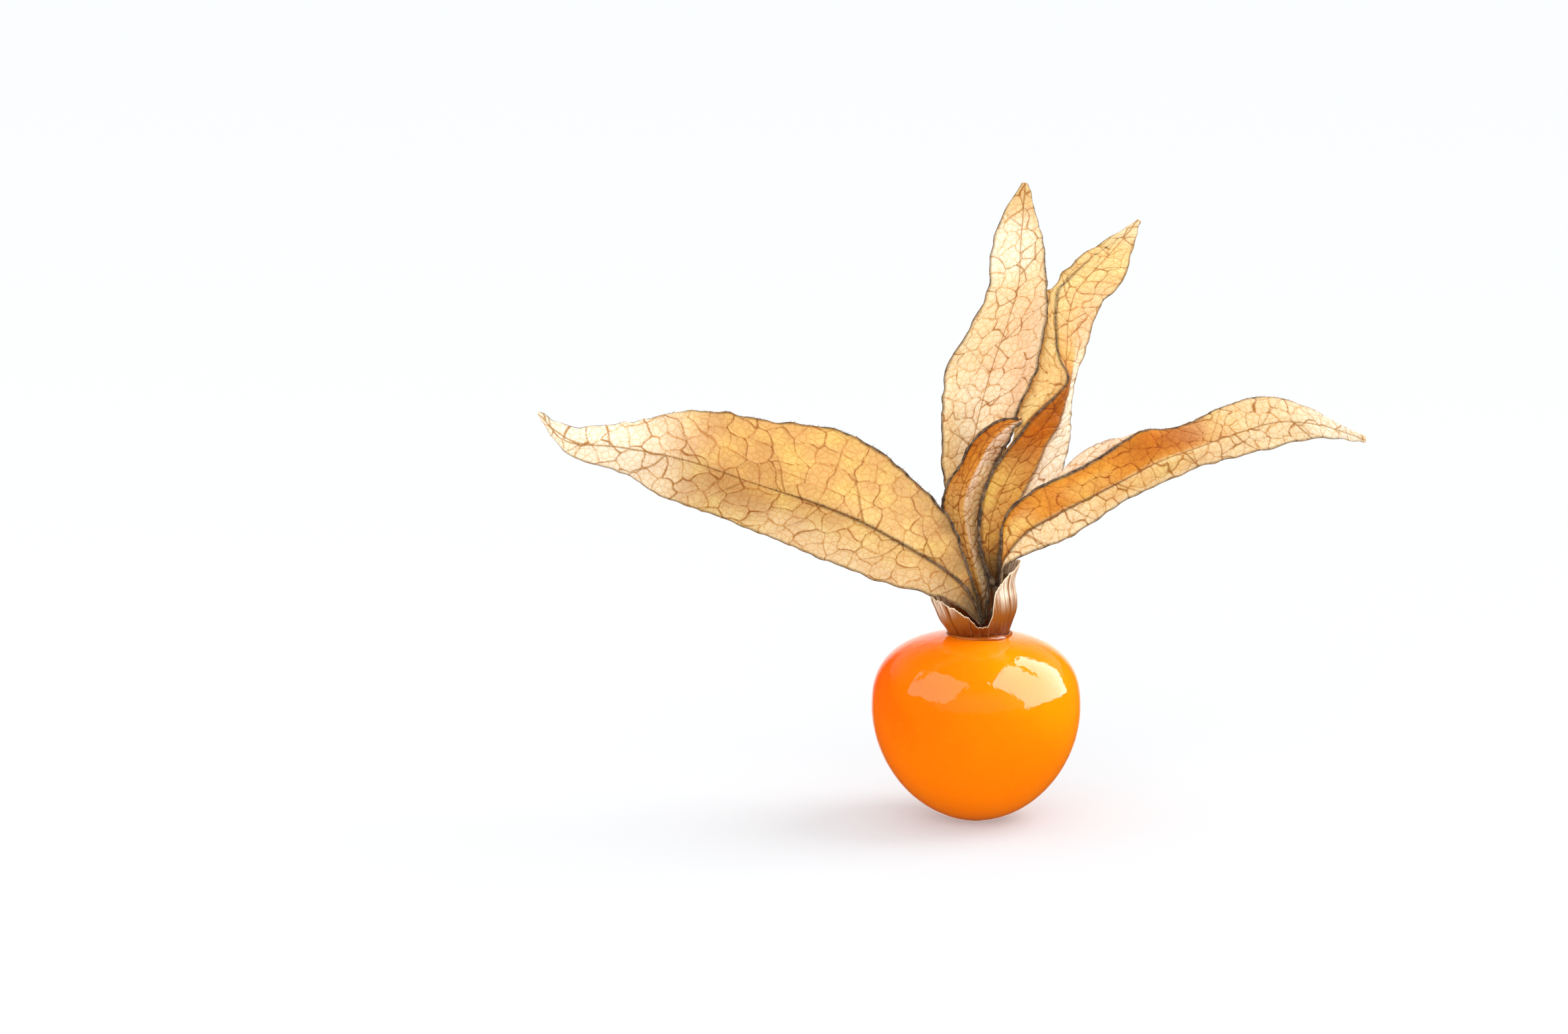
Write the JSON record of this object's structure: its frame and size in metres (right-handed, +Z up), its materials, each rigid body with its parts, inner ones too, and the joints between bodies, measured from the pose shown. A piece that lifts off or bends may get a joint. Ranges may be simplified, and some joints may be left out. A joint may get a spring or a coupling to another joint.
{
  "type": "physalis berry",
  "caption": "Round glossy berry standing on its base, with a papery husk torn open into lobes that fold back and up around the cut stem.",
  "frame": {"origin": "middle of the flat under the berry that it rests on", "axes": "+X along the husk's longest spread, +Y to the back, +Z up the berry's axis"},
  "size_m": [0.0766, 0.0198, 0.0594],
  "materials": {
    "berry_skin": "glossy fruit skin",
    "collar_flesh": "moist fibrous calyx foot",
    "husk_paper": "dry veined papery husk",
    "stem_bark": "matt dry stalk"
  },
  "bodies": {
    "root": {"berry": "berry_skin", "calyx_collar": "collar_flesh", "stem": "stem_bark", "husk_lobe_left": "husk_paper", "husk_lobe_tall": "husk_paper", "husk_pleat_middle": "husk_paper", "husk_lobe_upright": "husk_paper", "husk_lobe_right": "husk_paper"}
  },
  "joints": []
}
